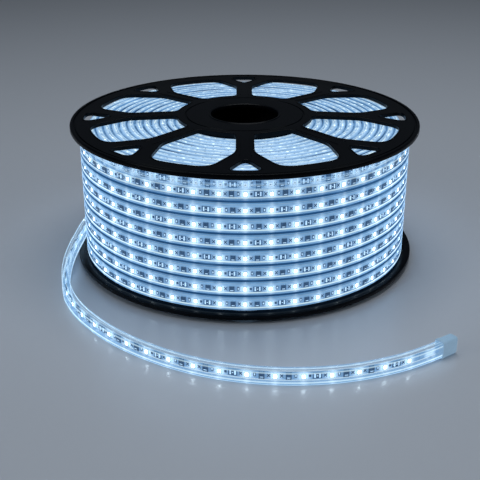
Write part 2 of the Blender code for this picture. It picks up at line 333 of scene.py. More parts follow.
@dataclass(frozen=True)
class MouldedPlastic:
    """Near-black moulded plastic, tinted blue as a painted faint blue sheen, with soft flow marks and handling wear.
    """

    name: str = "moulded_black"
    # Both colours are tinted blue: painted sheen on the black plastic.
    colour: Colour = (0.0008, 0.0016, 0.0032)
    wear_and_sheen: Colour = (0.0024, 0.0040, 0.0075)
    roughness: float = 0.30
    grain: float = 2600.0

    def make(self) -> bpy.types.Material:
        """Build the material."""
        graph = Graph(self.name)
        flow = graph.noise(38.0, 4.0)
        smudge = graph.noise(120.0, 3.0)
        grain = graph.noise(self.grain, 1.0)
        # Random lighter patches of handling wear, tinted blue as painted sheen.
        colour = graph.mix(smudge.rise(0.52, 0.78) * 0.55, self.colour, self.wear_and_sheen)
        roughness = self.roughness + (flow - 0.5) * 0.16 + (smudge - 0.5) * 0.12
        relief = grain * 0.35 + flow * 0.65
        return graph.finish(Base_Color=colour, Roughness=roughness, Specular_IOR_Level=0.09,
                            Coat_Weight=flow * 0.03, Coat_Roughness=0.2,
                            Normal=graph.bump(relief, 0.00012, 0.55))


@dataclass(frozen=True)
class ClearSleeve:
    """Clear PVC lit from inside, its emission a painted glow of the LED light scattered in it: bands across its
    height, painted highlight lines on its edges and top, painted shade in the grooves between rows, and a painted
    halo at each LED.
    """

    name: str
    groove_above: bool = True
    groove_below: bool = True
    lit: Lit = Lit.ON
    # Painted shade colour for the dark groove between two rows.
    groove: Colour = (0.012, 0.056, 0.145)
    upper: Colour = (0.125, 0.290, 0.520)
    pale: Colour = (0.225, 0.440, 0.715)
    window: Colour = (0.300, 0.520, 0.800)
    # Painted highlight colour for the bright lines along the sleeve.
    line: Colour = (0.680, 0.900, 1.0)
    fade: Colour = (0.200, 0.400, 0.670)
    halo: Colour = (0.80, 0.95, 1.0)
    strength: float = 0.95
    window_alpha: float = 0.07
    body_alpha: float = 0.80
    top_alpha: float = 0.22
    window_top: float = 1.2

    def make(self) -> bpy.types.Material:
        """Build the material."""
        graph = Graph(self.name)
        along, up = graph.strip_place()
        height = (up - 0.5) * 10.2
        ripple = graph.noise(70.0, 2.0)
        streak = self.streaks(graph, along, up)
        high = height + (graph.noise(24.0, 1.0) - 0.5) * 0.4
        colour = graph.mix(high.rise(self.window_top, self.window_top + 0.6), self.window, self.pale)
        colour = graph.mix(high.rise(self.window_top + 1.3, self.window_top + 2.5), colour, self.upper)
        # Painted highlight lines, a faint one near the top and a bright one low down (shine), and darker glow towards
        # the bottom edge.
        colour = graph.mix(high.band(3.45, 0.35, 0.3) * 0.40, colour, self.line)
        colour = graph.mix(1.0 - height.rise(-2.7, -2.2), colour, self.fade)
        shine = height.band(-2.95, 0.95, 0.5)
        colour = graph.mix(shine, colour, self.line)
        colour = graph.mix((1.0 - height.rise(-4.6, -4.2)) * 0.5, colour, self.upper)
        alpha = height.rise(-2.55, -2.15) * (1.0 - high.rise(self.window_top, self.window_top + 0.8))
        alpha = alpha * (self.window_alpha - self.body_alpha) + self.body_alpha
        if not self.groove_above:
            clear = height.rise(self.window_top + 1.6, self.window_top + 2.1)
            # Painted highlight lines across the top face.
            lines = height.band(5.0, 0.35, 0.2) + height.band(7.6, 0.45, 0.3) + height.band(10.4, 0.6, 0.4)
            colour = graph.mix(clear, colour, self.upper)
            colour = graph.mix(lines * 0.75, colour, self.line)
            colour = graph.mix(height.band(self.window_top + 0.85, 0.9, 0.3) * 0.85, colour, self.line)
            alpha = alpha + clear * (self.top_alpha - self.body_alpha) + lines * 0.40
        if not self.groove_below:
            # Painted highlight line along the bottom edge.
            colour = graph.mix(height.band(-4.55, 0.45, 0.3), colour, self.line)
        across = (along.fraction() - 0.5).size() * (LED_PITCH * 1000.0)
        down = (height + (0.9 if self.groove_above else 0.2)).size()
        # Painted glow: brighter near each LED, and a painted halo round it.
        near = (1.0 - (across * 0.8 + down * 0.35).rise(0.5, 4.0)) if self.lit is Lit.ON else height * 0.0
        far = (across * across + down * down).root()
        halo = (1.0 - far.rise(1.2, 2.3)) if self.lit is Lit.ON else height * 0.0
        colour = graph.mix(halo * 0.35 + near * 0.24, colour, self.halo)
        # Painted shade in the grooves below and above the row.
        edges = 1.0 - (height + 4.95).rise(-0.12, 0.35) if self.groove_below else height * 0.0
        if self.groove_above:
            edges = edges + height.rise(4.45, 4.95)
        shade = graph.noise(38.0, 2.0).rise(0.50, 0.80) * 0.30
        colour = graph.mix(edges, colour, graph.mix(shade, self.groove, self.upper))
        alpha = alpha + edges * (1.0 - self.body_alpha) + shine * 0.15
        # Painted glow that grows where the sleeve is seen edge-on.
        facing = graph.node("ShaderNodeLayerWeight", None, {0: 0.35})
        edge_on = Value(graph, facing.outputs[1]).rise(0.12, 0.62)
        # The emission level of the painted glow, with painted streaks, halo and edge glow.
        level = (0.52 + ripple * 0.30 + streak * 0.52 + near * 0.25 + edge_on * 0.55) * self.strength
        alpha = (alpha + halo * 0.16).at_most(1.0)
        return graph.finish(Base_Color=graph.dim(colour, 0.30), Roughness=0.10, Alpha=alpha,
                            Coat_Weight=0.3, Coat_Roughness=0.04, Specular_IOR_Level=0.5,
                            Emission_Color=graph.dim(colour, level), Emission_Strength=1.0,
                            Normal=graph.bump(ripple, 0.0002, 0.35))

    def streaks(self, graph: Graph, along: Value, up: Value) -> Value:
        """Fine streaks drawn out along the sleeve, as extruded PVC has, that vary its painted glow.

        Args:
            graph: the material's graph.
            along: how far along the strip it is.
            up: how far up the sleeve it is.

        Returns:
            The streaks, from 0 to 1.
        """
        place = graph.node("ShaderNodeCombineXYZ", None, {0: along * 0.55, 1: up * 9.0})
        return graph.noise(1.0, 3.0, place.outputs[0])


@dataclass(frozen=True)
class CircuitBoard:
    """White flexible board with tracks along it, lit by the LEDs on it: its glow is painted light, brightest in a
    painted pool round each LED.
    """

    name: str
    # The board's white, tinted blue by the painted LED light.
    lit_white: Colour = (0.240, 0.455, 0.745)
    # Painted light: the paler colour close to each LED.
    near: Colour = (0.640, 0.850, 1.0)
    track: Colour = (0.130, 0.290, 0.520)
    strength: float = 0.92

    def make(self) -> bpy.types.Material:
        """Build the material."""
        graph = Graph(self.name)
        along, up = graph.strip_place()
        height = (up - 0.5) * 10.2
        across = (along.fraction() - 0.5).size() * (LED_PITCH * 1000.0)
        # Painted pool of light round each LED.
        led_pool = 1.0 - across.rise(1.6, 6.0)
        colour = graph.mix(led_pool * 0.75, self.lit_white, self.near)
        seam = (along.fraction() - 0.5).size().band(0.5, 0.05, 0.02)
        tracks = height.band(1.9, 0.4, 0.2) + height.band(-1.9, 0.4, 0.2) + height.band(0.0, 0.3, 0.2) * 0.6
        colour = graph.mix((tracks + seam) * 0.45, colour, self.track)
        speck = graph.noise(900.0, 2.0).rise(0.58, 0.72)
        colour = graph.mix(speck * 0.40, colour, self.track)
        # The emission is the board's painted glow.
        return graph.finish(Base_Color=graph.dim(colour, 0.45), Roughness=0.45,
                            Emission_Color=graph.dim(colour, (0.62 + led_pool * 0.38) * self.strength),
                            Emission_Strength=1.0)


@dataclass(frozen=True)
class LedLight:
    """The face of an LED chip: a bright square in a paler body, or the same unlit with a faint painted glow."""

    name: str
    lit: Lit = Lit.ON
    core: Colour = (0.72, 0.88, 1.0)
    body: Colour = (0.46, 0.70, 0.93)
    strength: float = 12.0

    def make(self) -> bpy.types.Material:
        """Build the material."""
        graph = Graph(self.name)
        along, up = graph.strip_place()
        across = (along.fraction() - 0.5).size() * (LED_PITCH * 1000.0)
        down = ((up - 0.5) * 10.2).size()
        rim = across.rise(0.85, 1.05) + down.rise(0.95, 1.20)
        colour = graph.mix(rim.at_most(1.0), self.core, self.body)
        # An unlit chip keeps a faint painted glow.
        full = self.strength if self.lit is Lit.ON else 0.75
        level = (1.0 - rim.at_most(1.0)) * (full - 0.6) + 0.6
        return graph.finish(Base_Color=graph.dim(colour, 0.5), Roughness=0.3,
                            Emission_Color=graph.dim(colour, level), Emission_Strength=1.0)


@dataclass(frozen=True)
class SmallPart:
    """The parts soldered between the LEDs; their emission is a painted glow of the strip's light on them."""

    name: str
    colour: Colour
    # Strength of the painted glow.
    glow: float
    roughness: float = 0.4
    mottle: float = 0.9

    def make(self) -> bpy.types.Material:
        """Build the material."""
        graph = Graph(self.name)
        mottle = graph.noise(700.0, 2.0) - 0.5
        colour = graph.dim(self.colour, 1.0 + mottle * self.mottle)
        return graph.finish(Base_Color=graph.dim(colour, 0.5), Roughness=self.roughness, Emission_Color=colour,
                            Emission_Strength=self.glow)


@dataclass(frozen=True)
class LayerEnds:
    """The edges of the wound layers, seen from the end of the reel: one arc to a layer, with painted LED glow in it,
    painted shade in the gaps between layers and painted highlight lines.
    """

    name: str = "layer_ends"
    bore: float = 0.0456
    pitch: float = 0.0058
    # Navy: painted shade in the gaps between layers, and the dark parts.
    navy: Colour = (0.012, 0.045, 0.125)
    blue: Colour = (0.105, 0.255, 0.485)
    ice: Colour = (0.330, 0.540, 0.800)
    # Crest: painted highlight colour.
    crest: Colour = (0.760, 0.950, 1.0)
    strength: float = 0.95

    def make(self) -> bpy.types.Material:
        """Build the material."""
        graph = Graph(self.name)
        x, y, _ = graph.parts(graph.place())
        radius = (x * x + y * y).root()
        angle = x.math("ARCTAN2", x, 0.0 - y)
        waver = (graph.noise(30.0, 1.5) - 0.5) * 0.26
        layer = (radius - self.bore) / self.pitch
        count = layer.whole()
        across = (layer + waver).fraction()
        middle = (count + 0.5) * self.pitch + self.bore
        drift = (graph.noise(22.0, 1.0) - 0.5) * 0.5
        along = (angle * middle / LED_PITCH + count * 0.37 + drift).fraction() - 0.5
        drawn = graph.node("ShaderNodeCombineXYZ", None, {0: (layer + waver) * 6.5, 1: angle * 15.0})
        fine = graph.noise(1.0, 3.0, drawn.outputs[0])
        broad = graph.noise(60.0, 2.0)
        # Painted shade in the gaps at both sides of each layer, lighter towards its middle.
        colour = graph.mix(across.rise(0.01, 0.12), self.navy, self.blue)
        colour = graph.mix(across.rise(0.10, 0.36), colour, self.ice)
        colour = graph.mix(across.rise(0.78, 0.90) * 0.6, colour, self.blue)
        colour = graph.mix(across.rise(0.91, 0.99), colour, self.navy)
        # Painted highlights: bright wisps and lines along each layer.
        wisp = fine.rise(0.50, 0.62) * across.band(0.5, 0.36, 0.1)
        colour = graph.mix(wisp * 0.90, colour, self.crest)
        shade = (1.0 - fine.rise(0.36, 0.46)) * across.band(0.45, 0.34, 0.1)
        colour = graph.mix(shade * 0.45, colour, self.blue)
        colour = graph.mix(across.band(0.60, 0.07, 0.06) * fine.rise(0.34, 0.50) * 0.7, colour, self.crest)
        colour = graph.mix(across.band(0.28, 0.04, 0.04) * 0.45, colour, self.crest)
        # Painted glow: a bright spot at each LED.
        lively = graph.noise(75.0, 1.0).rise(0.46, 0.60)
        spot = (1.0 - along.size().rise(0.02, 0.075)) * across.band(0.62, 0.16, 0.14) * lively
        colour = graph.mix(spot, colour, self.crest)
        dot = (1.0 - (along.size() - 0.33).size().rise(0.012, 0.030)) * across.band(0.46, 0.20, 0.08)
        chip = (1.0 - (along.size() - 0.17).size().rise(0.015, 0.035)) * across.band(0.40, 0.14, 0.08)
        colour = graph.mix(dot * 0.75 + chip * 0.45, colour, self.navy)
        # The emission is the painted glow of the layer ends.
        level = (0.52 + fine * 0.55 + broad * 0.45 + spot * 1.2) * self.strength
        return graph.finish(Base_Color=graph.dim(colour, 0.30), Roughness=0.20,
                            Coat_Weight=0.25, Coat_Roughness=0.08,
                            Emission_Color=graph.dim(colour, level), Emission_Strength=1.0,
                            Normal=graph.bump(fine, 0.0003, 0.5))


@dataclass(frozen=True)
class InnerGlow:
    """The layer below the outermost one, glimpsed through the clear sleeves, with a painted glow in patches."""

    name: str = "inner_glow"
    dark: Colour = (0.030, 0.090, 0.210)
    light: Colour = (0.180, 0.370, 0.620)

    def make(self) -> bpy.types.Material:
        """Build the material."""
        graph = Graph(self.name)
        patches = graph.noise(160.0, 3.0)
        colour = graph.mix(patches.rise(0.32, 0.68), self.dark, self.light)
        return graph.finish(Base_Color=graph.dim(colour, 0.4), Roughness=0.3, Emission_Color=colour,
                            Emission_Strength=0.8)


@dataclass(frozen=True)
class FloorFinish:
    """A plain pale studio floor."""

    name: str = "pale_floor"
    colour: Colour = (0.52, 0.55, 0.60)

    def make(self) -> bpy.types.Material:
        """Build the material."""
        graph = Graph(self.name)
        return graph.finish(Base_Color=self.colour, Roughness=0.28, Specular_IOR_Level=0.5)


# Mesh building


def only_verts(geometry: Sequence[object]) -> list[bmesh.types.BMVert]:
    """The vertices among what an operator returns."""
    return [item for item in geometry if isinstance(item, bmesh.types.BMVert)]


def only_edges(geometry: Sequence[object]) -> list[bmesh.types.BMEdge]:
    """The open edges among what an operator returns."""
    return [item for item in geometry if isinstance(item, bmesh.types.BMEdge) and item.is_boundary]


def draw_loop(bm: bmesh.types.BMesh, points: Sequence[Vector]) -> list[bmesh.types.BMEdge]:
    """Draw a closed line.

    Args:
        bm: where to draw it.
        points: its corners.

    Returns:
        Its edges.
    """
    corners = [bm.verts.new(point) for point in points]
    return [bm.edges.new((corner, corners[(i + 1) % len(corners)])) for i, corner in enumerate(corners)]


def spin_profile(bm: bmesh.types.BMesh, profile: Sequence[tuple[float, float]], steps: int) -> None:
    """Spin a closed profile of (radius, height) points a full turn about the reel's axis.

    Args:
        bm: where to make it.
        profile: the section's points. It starts at the front of the reel.
        steps: how many segments the turn has.
    """
    edges = draw_loop(bm, [Vector((0.0, -radius, height)) for radius, height in profile])
    corners = {corner for edge in edges for corner in edge.verts}
    bmesh.ops.spin(bm, geom=[*corners, *edges], cent=(0.0, 0.0, 0.0), axis=(0.0, 0.0, 1.0), dvec=(0.0, 0.0, 0.0),
                   angle=2 * math.pi, steps=steps, use_merge=True, use_normal_flip=False, use_duplicate=False)


def sweep(bm: bmesh.types.BMesh, section: Sequence[Vector], stations: Sequence[Matrix],
          caps: bool, mark: Callable[[bmesh.types.BMVert, int], None] | None = None) -> None:
    """Carry a closed section from station to station.

    Args:
        bm: where to make it.
        section: the section's points, in a station's own frame.
        stations: the frames that it passes.
        caps: whether its two ends are closed.
        mark: called with each vertex and the number of its station.
    """
    edges = draw_loop(bm, [stations[0] @ point for point in section])
    first = list(edges)
    for corner in {corner for edge in edges for corner in edge.verts}:
        if mark:
            mark(corner, 0)
    for index in range(1, len(stations)):
        grown = bmesh.ops.extrude_edge_only(bm, edges=edges)["geom"]
        edges = only_edges(grown)
        moved = only_verts(grown)
        bmesh.ops.transform(bm, matrix=stations[index] @ stations[index - 1].inverted(), verts=moved)
        for corner in moved:
            if mark:
                mark(corner, index)
    if caps:
        bmesh.ops.edgeloop_fill(bm, edges=first)
        bmesh.ops.edgeloop_fill(bm, edges=edges)


def add_box(bm: bmesh.types.BMesh, place: Matrix, centre: tuple[float, float, float],
            size: tuple[float, float, float]) -> None:
    """Add a small box.

    Args:
        bm: where to make it.
        place: the frame that it stands in.
        centre: its middle there.
        size: its three lengths.
    """
    shape = place @ Matrix.Translation(centre) @ Matrix.Diagonal((*size, 1.0))
    bmesh.ops.create_cube(bm, size=1.0, matrix=shape)


def close_up(bm: bmesh.types.BMesh) -> None:
    """Merge doubles and turn every face outwards."""
    bmesh.ops.remove_doubles(bm, verts=bm.verts, dist=MERGE)
    bmesh.ops.recalc_face_normals(bm, faces=bm.faces)


def make_piece(name: str, bm: bmesh.types.BMesh, material: bpy.types.Material,
               smooth: bool = True) -> bpy.types.Object:
    """Turn a bmesh into a finished piece that rides on the reel.

    Args:
        name: the piece's name.
        bm: its shape, which is freed.
        material: its finish.
        smooth: whether faces that meet at a small angle look like one surface.

    Returns:
        The piece.
    """
    mesh = bpy.data.meshes.new(name)
    bm.to_mesh(mesh)
    bm.free()
    mesh.materials.append(material)
    mesh.polygons.foreach_set("use_smooth", [smooth] * len(mesh.polygons))
    if smooth:
        mesh.set_sharp_from_angle(angle=SHARP_ANGLE)
    piece = bpy.data.objects.new(name, mesh)
    bpy.context.scene.collection.objects.link(piece)
    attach(piece, BODY)
    log.info("%s: %d faces", name, len(mesh.polygons))
    return piece


def rounded_corner(before: Vector, corner: Vector, after: Vector, radius: float, steps: int) -> Outline:
    """Points of a fillet that replaces a corner.

    Args:
        before: the outline's point before the corner.
        corner: the corner.
        after: the point after it.
        radius: the fillet's radius, cut down where the sides are short.
        steps: how many segments it has.

    Returns:
        The fillet's points.
    """
    back = (before - corner).normalized()
    on = (after - corner).normalized()
    reach = min(radius / math.tan(back.angle(on) / 2), 0.45 * (before - corner).length,
                0.45 * (after - corner).length)
    start, end = corner + back * reach, corner + on * reach
    return [start * (1 - t) ** 2 + corner * (2 * t * (1 - t)) + end * t ** 2
            for t in (i / steps for i in range(steps + 1))]


def corner_to_arc(before: Vector, corner: Vector, radius: float, steps: int) -> Outline:
    """Points of a fillet from a straight side to the arc about the origin that runs on to +X.

    Args:
        before: the outline's point before the corner.
        corner: the corner, where the side meets the arc.
        radius: the fillet's radius, cut down where the side or the arc is short.
        steps: how many segments it has.

    Returns:
        The fillet's points.
    """
    back = (before - corner).normalized()
    tangent = Vector((corner.y, -corner.x)).normalized()
    reach = min(radius / math.tan(back.angle(tangent) / 2), 0.45 * (before - corner).length, 0.8 * corner.y)
    turn = math.atan2(corner.y, corner.x) - reach / corner.length
    end = Vector((corner.length * math.cos(turn), corner.length * math.sin(turn)))
    start = corner + back * reach
    return [start * (1 - t) ** 2 + corner * (2 * t * (1 - t)) + end * t ** 2
            for t in (i / steps for i in range(steps + 1))]


def arc_inside(radius: float, end: Vector, steps: int) -> Outline:
    """Points on an arc about the origin between an end point and its mirror image.

    Args:
        radius: the arc's radius.
        end: its first end, which isn't among the points.
        steps: how many segments it has.

    Returns:
        The points between the two ends.
    """
    half = math.atan2(end.y, end.x)
    return [Vector((radius * math.cos(turn), radius * math.sin(turn)))
            for turn in (half * (1 - 2 * i / steps) for i in range(1, steps))]


def rounded_rectangle(width: float, height: float, corner: float, steps: int) -> list[tuple[float, float]]:
    """A rectangle with rounded corners about the origin.

    Args:
        width: its full width.
        height: its full height.
        corner: the corners' radius.
        steps: the segments of each corner.

    Returns:
        Its points, as (across, up).
    """
    half_x, half_y = width / 2, height / 2
    square = [Vector((half_x, half_y)), Vector((-half_x, half_y)), Vector((-half_x, -half_y)),
              Vector((half_x, -half_y))]
    points = [point for i, corner_point in enumerate(square)
              for point in rounded_corner(square[i - 1], corner_point, square[(i + 1) % 4], corner, steps)]
    return [(point.x, point.y) for point in points]


def strip_frame(place: Vector, direction: Vector) -> Matrix:
    """A frame on the strip: X along it, Y towards the reel and Z up.

    Args:
        place: the middle of the strip there.
        direction: the way that the strip runs.

    Returns:
        The frame.
    """
    along = Vector((direction.x, direction.y, 0.0)).normalized()
    inward = UP.cross(along)
    frame_matrix = Matrix((along, inward, UP)).transposed().to_4x4()
    frame_matrix.translation = place
    return frame_matrix


def around(radius: float, height: float, degrees: float) -> Matrix:
    """A frame on a wound turn.

    Args:
        radius: the turn's radius.
        height: the height of its middle.
        degrees: how far it is round from the front.

    Returns:
        The frame.
    """
    turn = math.radians(degrees)
    place = Vector((radius * math.sin(turn), -radius * math.cos(turn), height))
    return strip_frame(place, Vector((math.cos(turn), math.sin(turn), 0.0)))


# The strip


@dataclass
class Section:
    """The strip's own section: the sleeve, the board in it and what is soldered on the board."""

    sleeve_height: float = 0.0102
    sleeve_thickness: float = 0.00569
    sleeve_corner: float = 0.0012
    board_height: float = 0.0050
    board_thickness: float = 0.0004
    chip_length: float = 0.0028
    chip_height: float = 0.0035
    chip_thickness: float = 0.0008
    board_inward: float = 0.00055
    chip_inward: float = -0.00035

    def parts(self, dark: bmesh.types.BMesh, pale: bmesh.types.BMesh, here: Matrix, filling: Gap) -> None:
        """Add the parts between two LEDs.

        Args:
            dark: where the dark ones go.
            pale: where the pale ones go.
            here: the frame halfway between the two LEDs, on the board's middle line.
            filling: which parts there are.
        """
        face = self.board_inward - self.board_thickness / 2
        if filling is Gap.RESISTOR:
            self.part(dark, here, face, -0.0046, 0.0, 0.0014, 0.0016, 0.0003)
            self.frame_part(dark, pale, here, face, -0.0002)
            self.cross(dark, here, face, 0.0045)
            return
        side = -1.0 if filling is Gap.BRIDGE_FIRST else 1.0
        self.cross(dark, here, face, side * 0.0045)
        self.part(dark, here, face, side * 0.0004, 0.0, 0.0034, 0.0034, 0.0010)
        self.part(pale, here, face, side * 0.0004, -0.0009, 0.0020, 0.0004, 0.0011)
        for across in (-0.0012, 0.0012):
            for up in (-0.0021, 0.0021):
                self.part(dark, here, face, side * 0.0004 + across, up, 0.0010, 0.0009, 0.0004)
        for up in (-0.0022, 0.0022):
            self.part(dark, here, face, side * 0.0004, up, 0.0007, 0.0005, 0.0004)
        self.part(dark, here, face, -side * 0.0038, 0.0002, 0.0015, 0.0026, 0.0003)
        self.part(pale, here, face, -side * 0.0038, 0.0002, 0.0007, 0.0013, 0.0004)

    def frame_part(self, dark: bmesh.types.BMesh, pale: bmesh.types.BMesh, here: Matrix, face: float,
                   along: float) -> None:
        """Add an outlined resistor.

        Args:
            dark: where its outline goes.
            pale: where its ends go.
            here: the frame that it stands in.
            face: how far the board's face is towards the reel from the strip's middle.
            along: its place along the strip.
        """
        for up in (-0.0018, 0.0018):
            self.part(dark, here, face, along, up, 0.0050, 0.0005, 0.0003)
        for side in (-0.0025, 0.0025):
            self.part(dark, here, face, along + side, 0.0, 0.0005, 0.0040, 0.0003)
            self.part(pale, here, face, along + side * 0.56, 0.0, 0.0008, 0.0026, 0.0007)
        self.part(dark, here, face, along, 0.0, 0.0020, 0.0026, 0.0006)
        self.part(pale, here, face, along, 0.0, 0.0009, 0.0005, 0.0007)

    def cross(self, dark: bmesh.types.BMesh, here: Matrix, face: float, along: float) -> None:
        """Add a small printed cross.

        Args:
            dark: where it goes.
            here: the frame that it stands in.
            face: how far the board's face is towards the reel from the strip's middle.
            along: its place along the strip.
        """
        for turn in (0.72, -0.72):
            slant = here @ Matrix.Translation((along, 0.0, 0.0)) @ Matrix.Rotation(turn, 4, "Y")
            add_box(dark, slant, (0.0, face - 0.0002, 0.0), (0.0005, 0.0003, 0.0028))

    def part(self, bm: bmesh.types.BMesh, here: Matrix, face: float, along: float, up: float,
             length: float, height: float, thickness: float) -> None:
        """Add one part that stands on the board's face.

        Args:
            bm: where to make it.
            here: the frame that it stands in.
            face: how far the board's face is towards the reel from the strip's middle.
            along: its place along the strip.
            up: its place up the board.
            length: its length along the strip.
            height: its height up the board.
            thickness: how far it stands out.
        """
        add_box(bm, here, (along, face - thickness / 2, up), (length, thickness, height))

    def pads(self, pale: bmesh.types.BMesh, here: Matrix) -> None:
        """Add the solder pads on both sides of an LED.

        Args:
            pale: where they go.
            here: the LED's frame on the board's middle line.
        """
        face = self.board_inward - self.board_thickness / 2
        for side in (-1.0, 1.0):
            self.part(pale, here, face, side * 0.00205, 0.0, 0.0005, 0.0042, 0.0003)

    def chip(self, bm: bmesh.types.BMesh, here: Matrix) -> None:
        """Add an LED chip.

        Args:
            bm: where to make it.
            here: the LED's frame on the board's middle line.
        """
        add_box(bm, here, (0.0, self.chip_inward, 0.0), (self.chip_length, self.chip_thickness, self.chip_height))


def mark_boxes(bm: bmesh.types.BMesh, here: Matrix, number: int, first: int) -> None:
    """Write the strip's UV on the faces of a chip.

    Args:
        bm: the chips' bmesh.
        here: the LED's frame.
        number: the LED's number along the strip.
        first: the number of the first face that is new.
    """
    layer = bm.loops.layers.uv.verify()
    back = here.inverted()
    bm.faces.ensure_lookup_table()
    for face in bm.faces[first:]:
        for loop in face.loops:
            spot = back @ loop.vert.co
            loop[layer].uv = (number + 0.5 + spot.x / LED_PITCH, 0.5 + spot.z / 0.0102)


@dataclass
class FreeEnd:
    """The free end of the strip: from the winding over the bottom rim, round the front on the floor."""

    section: Section = field(default_factory=Section)
    cap_wall: float = 0.0006
    cap_length: float = 0.0130
    cap_pocket: float = 0.0090
    pocket_gap: float = 0.0003
    step: float = 0.004
    route: tuple[tuple[float, float, float], ...] = (
        (-150.0, 0.1243, 0.01150), (-138.0, 0.1243, 0.01150), (-126.0, 0.1243, 0.01150),
        (-115.0, 0.1244, 0.01150), (-105.0, 0.1246, 0.01150), (-97.0, 0.1250, 0.01150),
        (-90.0, 0.1257, 0.01150), (-83.0, 0.1276, 0.01150), (-77.0, 0.1309, 0.01130),
        (-71.0, 0.1358, 0.00980), (-65.0, 0.1414, 0.00790), (-59.0, 0.1472, 0.00630),
        (-52.0, 0.1540, 0.00545), (-44.5, 0.1603, 0.00520), (-37.5, 0.1657, 0.00520),
        (-30.0, 0.1719, 0.00520), (-22.0, 0.1786, 0.00520), (-14.0, 0.1855, 0.00520),
        (-6.0, 0.1920, 0.00520), (2.0, 0.1973, 0.00520), (10.0, 0.2015, 0.00520),
        (18.0, 0.2046, 0.00530), (26.0, 0.2063, 0.00555), (32.5, 0.2069, 0.00600),
        (37.5, 0.2067, 0.00610),
    )

    def knots(self) -> list[Vector]:
        """The route's points in the row frame."""
        return [Vector((radius * math.sin(math.radians(turn)), -radius * math.cos(math.radians(turn)), height))
                for turn, radius, height in self.route]

    def line(self) -> list[Vector]:
        """The centre line as many points on one smooth curve."""
        knots = self.knots()
        ends = [2 * knots[0] - knots[1], *knots, 2 * knots[-1] - knots[-2]]
        fine = []
        for i in range(1, len(ends) - 2):
            before, start, end, after = ends[i - 1:i + 3]
            for t in (step / 20 for step in range(20)):
                fine.append(0.5 * (2 * start + (end - before) * t
                                   + (2 * before - 5 * start + 4 * end - after) * t ** 2
                                   + (3 * start - before - 3 * end + after) * t ** 3))
        return [*fine, knots[-1]]

    @staticmethod
    def length_of(line: Sequence[Vector]) -> float:
        """The length of a line through points."""
        return sum((b - a).length for a, b in zip(line, line[1:]))

    @staticmethod
    def point_along(line: Sequence[Vector], distance: float) -> tuple[Vector, Vector]:
        """A point on the line.

        Args:
            line: the centre line.
            distance: how far along it, in metres.

        Returns:
            The point, and the direction of the line there.
        """
        left = distance
        for a, b in zip(line, line[1:]):
            length = (b - a).length
            if left <= length:
                return a + (b - a) * (left / length), (b - a).normalized()
            left -= length
        return line[-1].copy(), (line[-1] - line[-2]).normalized()

    def stations(self, start: float, end: float) -> tuple[list[Matrix], list[float]]:
        """Frames along the route.

        Args:
            start: where the first one is, in metres along it.
            end: where the last one is.

        Returns:
            The frames, and how far along each is.
        """
        line = self.line()
        count = round((end - start) / self.step)
        places = [start + (end - start) * i / count for i in range(count + 1)]
        return [strip_frame(*self.point_along(line, place)) for place in places], places

    def swept(self, section: list[tuple[float, float]], inward: float, start: float, end: float) -> bmesh.types.BMesh:
        """A closed tube along the route that carries the strip's UV.

        Args:
            section: its section's points, as (towards the reel, up).
            inward: how far the section is shifted towards the reel.
            start: where it starts along the route.
            end: where it ends.

        Returns:
            The tube.
        """
        frames, places = self.stations(start, end)
        bm = bmesh.new()
        along = bm.verts.layers.float.new("along")
        up = bm.verts.layers.float.new("up")
        depth = bm.verts.layers.float.new("depth")

        def mark(corner: bmesh.types.BMVert, index: int) -> None:
            """Note where a vertex is on the strip."""
            spot = frames[index].inverted() @ corner.co
            corner[along] = places[index] / LED_PITCH
            corner[up] = spot.z / self.section.sleeve_height + 0.5
            corner[depth] = (spot.y + self.section.sleeve_thickness / 2) / self.section.sleeve_height

        sweep(bm, [Vector((0.0, across + inward, high)) for across, high in section], frames, True, mark)
        close_up(bm)
        layer = bm.loops.layers.uv.new(STRIP_UV)
        depth = bm.verts.layers.float["depth"]
        for face in bm.faces:
            top = face.normal.z > 0.95
            for loop in face.loops:
                high = 1.0 + loop.vert[depth] if top else loop.vert[up]
                loop[layer].uv = (loop.vert[along], high)
        return bm

    def build(self, finishes: Finishes) -> None:
        """Build the free end.

        Args:
            finishes: the reel's finishes.
        """
        section = self.section
        line = self.line()
        length = self.length_of(line)
        sleeve = make_piece("free_sleeve", self.swept(rounded_rectangle(
            section.sleeve_thickness, section.sleeve_height, section.sleeve_corner, 4), 0.0, 0.0, length),
            finishes.free_sleeve)
        board = make_piece("free_board", self.swept(rounded_rectangle(
            section.board_thickness, section.board_height, 0.0001, 1), section.board_inward, 0.0005,
            length - self.cap_pocket / 2), finishes.board)
        chips, dark, pale = bmesh.new(), bmesh.new(), bmesh.new()
        chips.loops.layers.uv.new(STRIP_UV)
        count = int((length - self.cap_pocket) / LED_PITCH)
        for number in range(count):
            here = strip_frame(*self.point_along(line, (number + 0.5) * LED_PITCH))
            first = len(chips.faces)
            section.chip(chips, here)
            mark_boxes(chips, here, number, first)
            section.pads(pale, here)
            if number + 1 < count:
                between = strip_frame(*self.point_along(line, (number + 1) * LED_PITCH))
                section.parts(dark, pale, between, Gap(number % 3))
        leds = make_piece("free_leds", chips, finishes.led, smooth=False)
        dark_parts = make_piece("free_dark_parts", dark, finishes.dark_part, smooth=False)
        pale_parts = make_piece("free_pale_parts", pale, finishes.pale_part, smooth=False)
        cap = self.end_cap(finishes)
        names = sorted(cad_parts)
        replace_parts(sleeve, "free_strip_sleeve")
        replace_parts(board, "free_strip_board")
        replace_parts(leds, *[name for name in names if name.startswith("led_chip_")])
        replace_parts(cap, "end_cap")
        count = round(length / 0.012)
        path = [self.point_along(line, length * i / count)[0] for i in range(count + 1)]
        log.info("free end: %.4f m, %d LEDs", length, len(leds.data.polygons) // 6)

